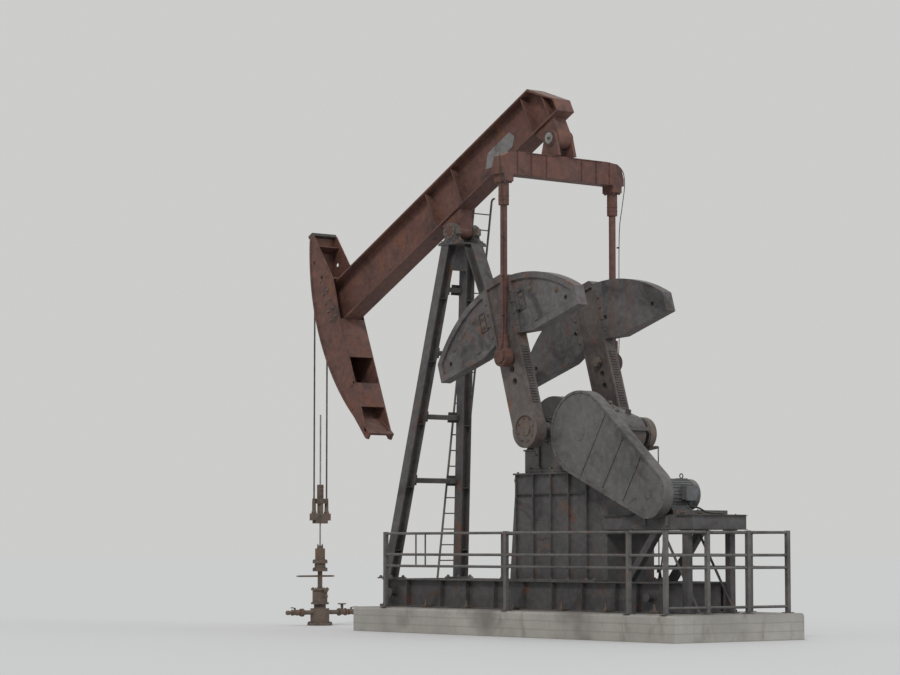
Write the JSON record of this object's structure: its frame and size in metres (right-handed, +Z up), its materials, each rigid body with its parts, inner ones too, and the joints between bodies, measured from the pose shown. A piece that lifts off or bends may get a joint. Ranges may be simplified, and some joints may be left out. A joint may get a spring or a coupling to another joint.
{
  "type": "oil well pumping unit",
  "caption": "Walking-beam pumping unit with horsehead, crank counterweights, gearbox, belt-driven motor, ladder, guard rails, concrete base and wellhead.",
  "frame": {"origin": "on the ground, straight under the walking beam's saddle bearing and in the machine's middle plane", "axes": "+X from the well towards the motor, +Y towards the side with the ladder and the brake drum, +Z up"},
  "size_m": [12.218, 3, 9.9576],
  "materials": {
    "concrete": "rough",
    "frame_paint": "weathered satin",
    "beam_paint": "weathered, chalky",
    "crank_paint": "weathered, rust streaked",
    "gear_paint": "oily, weathered",
    "guard_paint": "weathered satin",
    "cast_weight": "painted casting, rust streaked",
    "machined": "worn",
    "well_iron": "oily, rusted",
    "rope": "greasy wire rope",
    "rod_steel": "polished"
  },
  "bodies": {
    "frame": {"concrete_slab": "concrete", "skid_rail_near": "frame_paint", "skid_rail_far": "frame_paint", "skid_crossbeams": "frame_paint", "front_leg_near": "frame_paint", "front_leg_far": "frame_paint", "front_braces": "frame_paint", "rear_leg": "frame_paint", "post_head": "frame_paint", "saddle_blocks": "frame_paint", "ladder": "frame_paint", "platform_frame": "frame_paint", "platform_deck": "frame_paint", "platform_legs": "frame_paint", "pedestal": "frame_paint", "gearbox": "gear_paint", "brake_drum": "gear_paint", "motor": "gear_paint", "motor_slides": "gear_paint", "belt_guard": "guard_paint", "guard_posts": "guard_paint", "guard_rails_near": "guard_paint", "guard_rails_far": "guard_paint", "guard_rails_rear": "guard_paint", "wellhead": "well_iron", "stuffing_box": "well_iron", "well_valve": "well_iron", "well_rod": "rod_steel"},
    "crank": {"slow_shaft": "machined", "crank_near": "crank_paint", "crank_far": "crank_paint", "weight_near_front": "cast_weight", "weight_near_rear": "cast_weight", "weight_far_front": "cast_weight", "weight_far_rear": "cast_weight"},
    "beam": {"walking_beam": "beam_paint", "tail_bearing": "beam_paint", "head_plate_near": "beam_paint", "head_plate_far": "beam_paint", "head_face": "beam_paint", "head_cross_plates": "beam_paint", "saddle_shaft": "machined", "rope_anchors": "rope"},
    "equalizer_set": {"equalizer": "beam_paint", "pitman_near": "beam_paint", "pitman_far": "beam_paint", "wrist_bearing_near": "beam_paint", "wrist_bearing_far": "beam_paint", "tail_pin": "machined"},
    "bridle": {"carrier_bar": "well_iron", "polished_rod": "rod_steel", "bridle_ropes": "rope"}
  },
  "joints": [
    {"name": "crank_turn", "type": "hinge", "parent": "frame", "child": "crank", "pos_m": [3.21, 0, 3.64], "axis": [0, -1, 0], "range_deg": [-3, 169.1]},
    {"name": "beam_rock", "type": "hinge", "parent": "frame", "child": "beam", "pos_m": [0, 0, 7.52], "axis": [0, 1, 0], "range_deg": [-0.89, 50.13]},
    {"name": "equalizer_swing", "type": "hinge", "parent": "beam", "child": "equalizer_set", "pos_m": [2.80847, 0, 8.96847], "axis": [0, 1, 0], "range_deg": [-56.57, 1.01]},
    {"name": "rod_lift", "type": "slide", "parent": "frame", "child": "bridle", "axis": [0, 0, 1], "range_m": [-0.071, 3.981], "deforming": ["bridle_ropes"]}
  ],
  "couplings": [
    {"joint": "beam_rock", "follows": "crank_turn", "ratio": 0.2964},
    {"joint": "equalizer_swing", "follows": "crank_turn", "ratio": -0.3345},
    {"joint": "rod_lift", "follows": "crank_turn", "m_per_rad": 1.3486}
  ]
}
